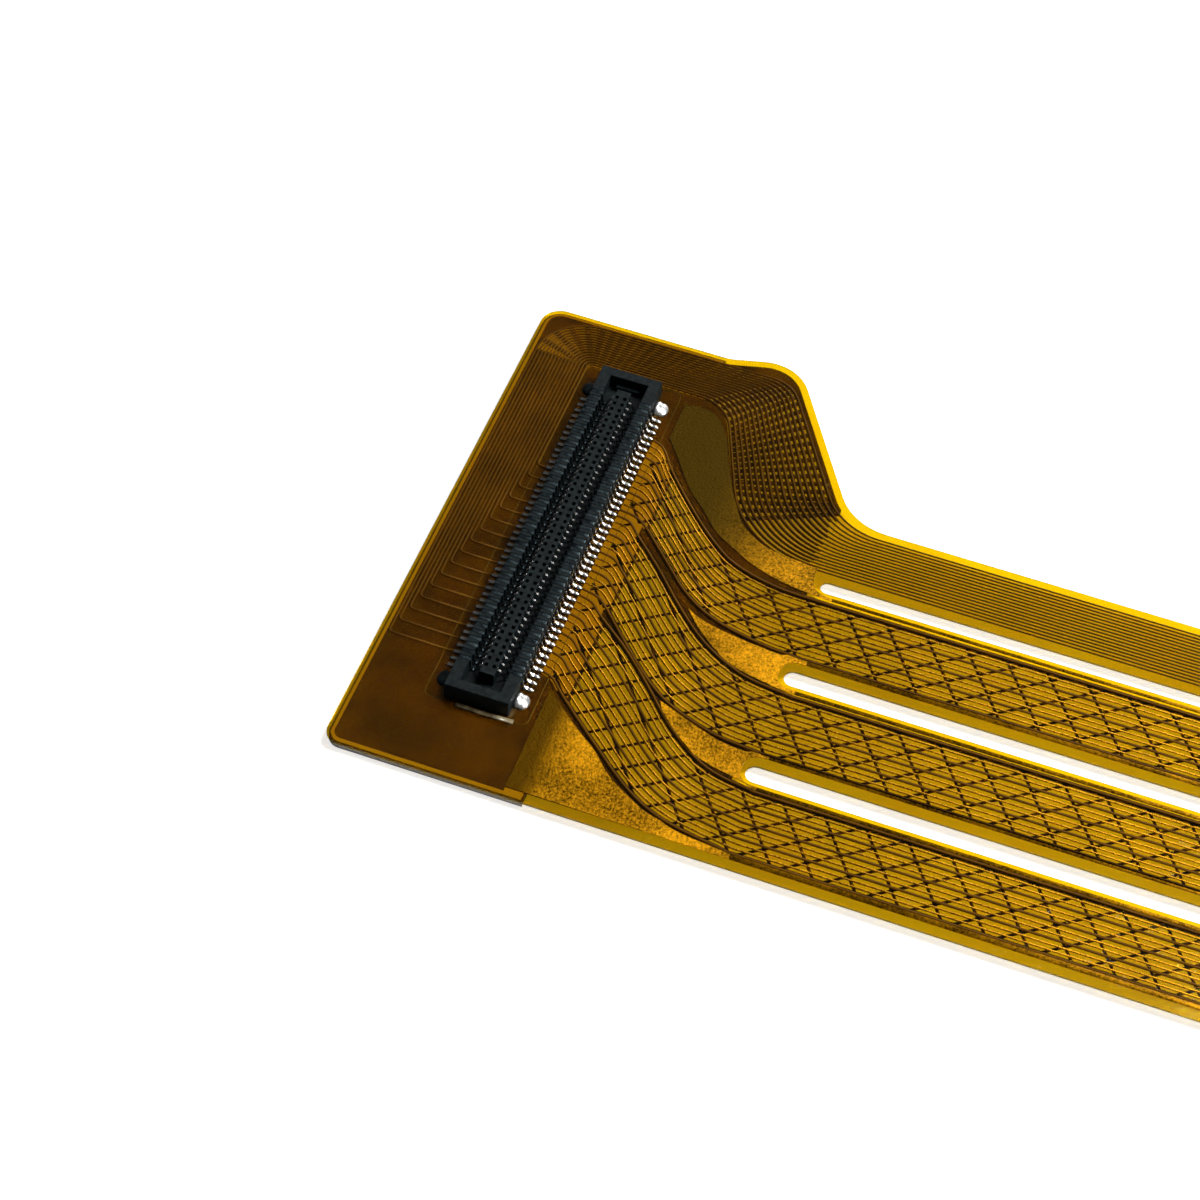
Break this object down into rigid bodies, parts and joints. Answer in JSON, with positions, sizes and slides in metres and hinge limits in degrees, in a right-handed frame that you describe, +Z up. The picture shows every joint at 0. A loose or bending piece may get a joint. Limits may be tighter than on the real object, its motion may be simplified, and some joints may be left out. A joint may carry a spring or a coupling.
{
  "type": "flat flex cable",
  "caption": "Amber flexible circuit cable: two stiffened heads with fine-pitch board connectors, joined by slotted strips of fine copper lines.",
  "frame": {"origin": "Below the middle of the cable, on the surface it lies on: halfway between the two connectors, and halfway across the head.", "axes": "+X runs along the strips to the far connector, +Y along the connectors towards the raised shoulder, and +Z up out of the connectors' mouths."},
  "size_m": [0.0812, 0.0294, 0.0014],
  "materials": {
    "base_film": "clear amber polyimide film, glossy",
    "cover_film": "clear amber cover film, glossy",
    "copper_lines": "copper under a clear amber coat",
    "land_copper": "grained copper under a clear amber coat",
    "ground_copper": "copper sealed between films",
    "adhesive": "thin bonding layer",
    "stiffener_steel": "fine brushed plate",
    "housing_plastic": "moulded black resin, satin",
    "contact_metal": "bright plated strip"
  },
  "bodies": {
    "root": {"base_film": "base_film", "bottom_cover_film": "cover_film", "lines_strip_1": "copper_lines", "signals_strip_2": "copper_lines", "signals_strip_3": "copper_lines", "signals_strip_4": "copper_lines", "guards_strip_2": "copper_lines", "guards_strip_3": "copper_lines", "guards_strip_4": "copper_lines", "ground_mesh_strip_2": "ground_copper", "ground_mesh_strip_3": "ground_copper", "ground_mesh_strip_4": "ground_copper", "near_ground_plane": "ground_copper", "near_lands": "land_copper", "near_adhesive": "adhesive", "near_stiffener": "stiffener_steel", "near_housing": "housing_plastic", "near_front_contacts": "contact_metal", "near_back_contacts": "contact_metal", "near_hold_downs": "contact_metal", "far_ground_plane": "ground_copper", "far_lands": "land_copper", "far_adhesive": "adhesive", "far_stiffener": "stiffener_steel", "far_housing": "housing_plastic", "far_front_contacts": "contact_metal", "far_back_contacts": "contact_metal", "far_hold_downs": "contact_metal"}
  },
  "joints": []
}
